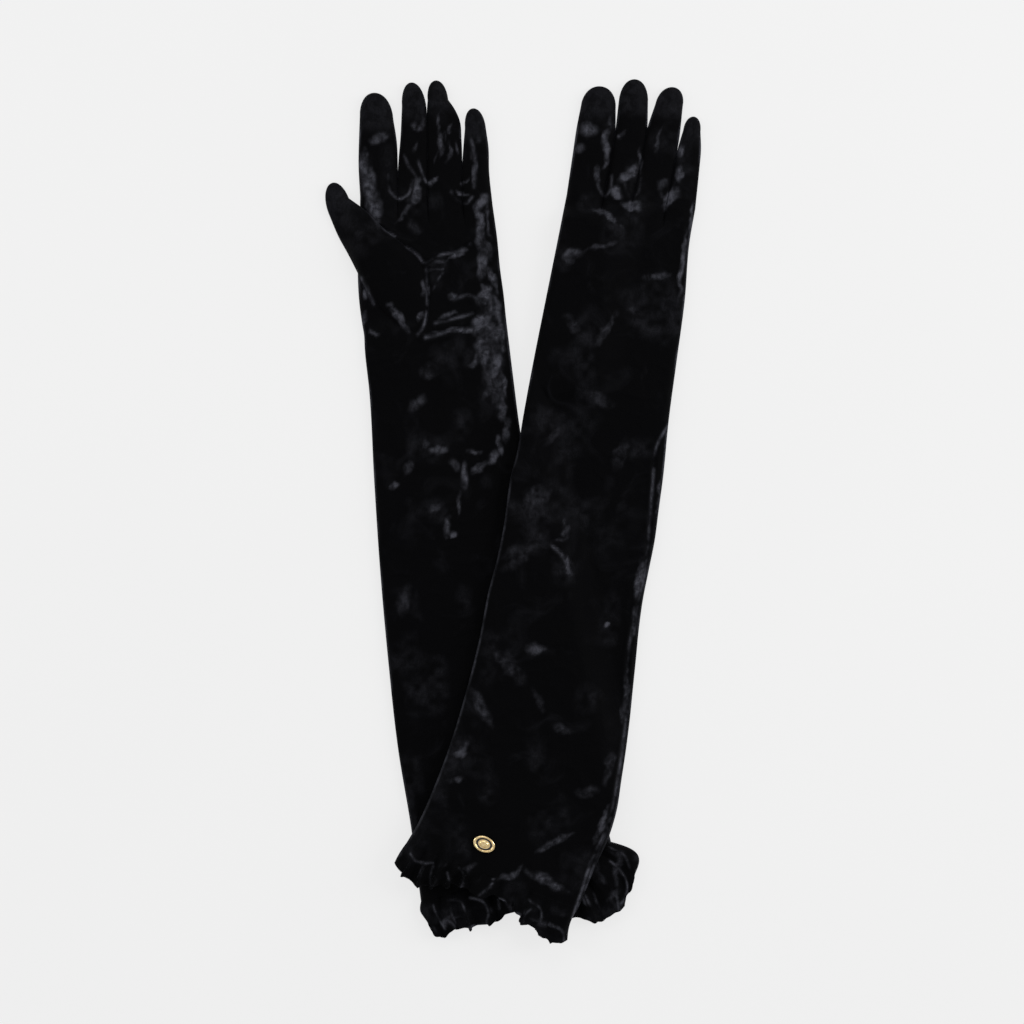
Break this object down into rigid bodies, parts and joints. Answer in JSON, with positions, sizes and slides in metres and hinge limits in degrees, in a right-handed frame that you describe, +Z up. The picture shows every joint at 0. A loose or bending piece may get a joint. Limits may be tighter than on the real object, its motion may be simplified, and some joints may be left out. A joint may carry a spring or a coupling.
{
  "type": "opera gloves",
  "caption": "Pair of long black velvet evening gloves with gathered elastic cuffs, laid flat and crossed.",
  "frame": {"origin": "centre of the pair's outline, on the surface that it lies on", "axes": "+Z up from that surface, +Y along the gloves from the cuffs to the fingertips, +X from the left-hand glove to the right-hand glove"},
  "size_m": [0.2591, 0.5915, 0.0244],
  "materials": {
    "black_velvet": "crushed stretch velvet, soft sheen",
    "black_elastic": "woven elastic, matte",
    "black_tape": "satin tape",
    "gold_metal": "polished, pale gold"
  },
  "bodies": {
    "left_glove": {"left_palm_panel": "black_velvet", "left_back_panel": "black_velvet", "left_elastic_band": "black_elastic", "left_elastic_casing": "black_tape", "left_frill_palm_side": "black_velvet", "left_frill_back_side": "black_velvet"},
    "right_glove": {"right_palm_panel": "black_velvet", "right_back_panel": "black_velvet", "right_elastic_band": "black_elastic", "right_elastic_casing": "black_tape", "right_frill_palm_side": "black_velvet", "right_frill_back_side": "black_velvet", "plaque": "gold_metal", "plaque_backing": "gold_metal"},
    "left_index": {"left_index_palm_panel": "black_velvet", "left_index_back_panel": "black_velvet", "left_index_fourchette_to_middle": "black_velvet"},
    "left_middle": {"left_middle_palm_panel": "black_velvet", "left_middle_back_panel": "black_velvet", "left_middle_fourchette_to_index": "black_velvet", "left_middle_fourchette_to_ring": "black_velvet"},
    "left_ring": {"left_ring_palm_panel": "black_velvet", "left_ring_back_panel": "black_velvet", "left_ring_fourchette_to_middle": "black_velvet", "left_ring_fourchette_to_little": "black_velvet"},
    "left_little": {"left_little_palm_panel": "black_velvet", "left_little_back_panel": "black_velvet", "left_little_fourchette_to_ring": "black_velvet"},
    "left_thumb": {"left_thumb_outer_panel": "black_velvet", "left_thumb_inner_panel": "black_velvet"},
    "right_index": {"right_index_palm_panel": "black_velvet", "right_index_back_panel": "black_velvet", "right_index_fourchette_to_middle": "black_velvet"},
    "right_middle": {"right_middle_palm_panel": "black_velvet", "right_middle_back_panel": "black_velvet", "right_middle_fourchette_to_index": "black_velvet", "right_middle_fourchette_to_ring": "black_velvet"},
    "right_ring": {"right_ring_palm_panel": "black_velvet", "right_ring_back_panel": "black_velvet", "right_ring_fourchette_to_middle": "black_velvet", "right_ring_fourchette_to_little": "black_velvet"},
    "right_little": {"right_little_palm_panel": "black_velvet", "right_little_back_panel": "black_velvet", "right_little_fourchette_to_ring": "black_velvet"},
    "right_thumb": {"right_thumb_outer_panel": "black_velvet", "right_thumb_inner_panel": "black_velvet"}
  },
  "joints": [
    {"name": "right_glove_lift", "type": "slide", "parent": "left_glove", "child": "right_glove", "axis": [0, 0, 1], "range_m": [0, 0.12]},
    {"name": "left_index_bend", "type": "hinge", "parent": "left_glove", "child": "left_index", "pos_m": [-0.09088, 0.21747, 0.0095], "axis": [0.9985, -0.0555, 0], "range_deg": [0, 80]},
    {"name": "left_middle_bend", "type": "hinge", "parent": "left_glove", "child": "left_middle", "pos_m": [-0.06793, 0.2162, 0.0095], "axis": [0.9985, -0.0555, 0], "range_deg": [0, 80]},
    {"name": "left_ring_bend", "type": "hinge", "parent": "left_glove", "child": "left_ring", "pos_m": [-0.04588, 0.21497, 0.0095], "axis": [0.9985, -0.0555, 0], "range_deg": [0, 80]},
    {"name": "left_little_bend", "type": "hinge", "parent": "left_glove", "child": "left_little", "pos_m": [-0.02383, 0.21375, 0.0095], "axis": [0.9985, -0.0555, 0], "range_deg": [0, 80]},
    {"name": "right_index_bend", "type": "hinge", "parent": "right_glove", "child": "right_index", "pos_m": [0.0509, 0.21874, 0.0095], "axis": [0.9936, -0.1129, 0], "range_deg": [0, 60]},
    {"name": "right_middle_bend", "type": "hinge", "parent": "right_glove", "child": "right_middle", "pos_m": [0.07334, 0.21619, 0.0095], "axis": [0.9936, -0.1129, 0], "range_deg": [0, 60]},
    {"name": "right_ring_bend", "type": "hinge", "parent": "right_glove", "child": "right_ring", "pos_m": [0.0949, 0.21374, 0.0095], "axis": [0.9936, -0.1129, 0], "range_deg": [0, 60]},
    {"name": "right_little_bend", "type": "hinge", "parent": "right_glove", "child": "right_little", "pos_m": [0.11646, 0.21129, 0.0095], "axis": [0.9936, -0.1129, 0], "range_deg": [0, 60]},
    {"name": "left_thumb_lift", "type": "hinge", "parent": "left_glove", "child": "left_thumb", "pos_m": [-0.0765, 0.1535, 0.0099], "axis": [0.7971, 0.6039, 0], "range_deg": [0, 60]},
    {"name": "right_thumb_swing", "type": "hinge", "parent": "right_glove", "child": "right_thumb", "pos_m": [0.035, 0.11125, 0], "axis": [0, 0, 1], "range_deg": [0, 35]}
  ]
}
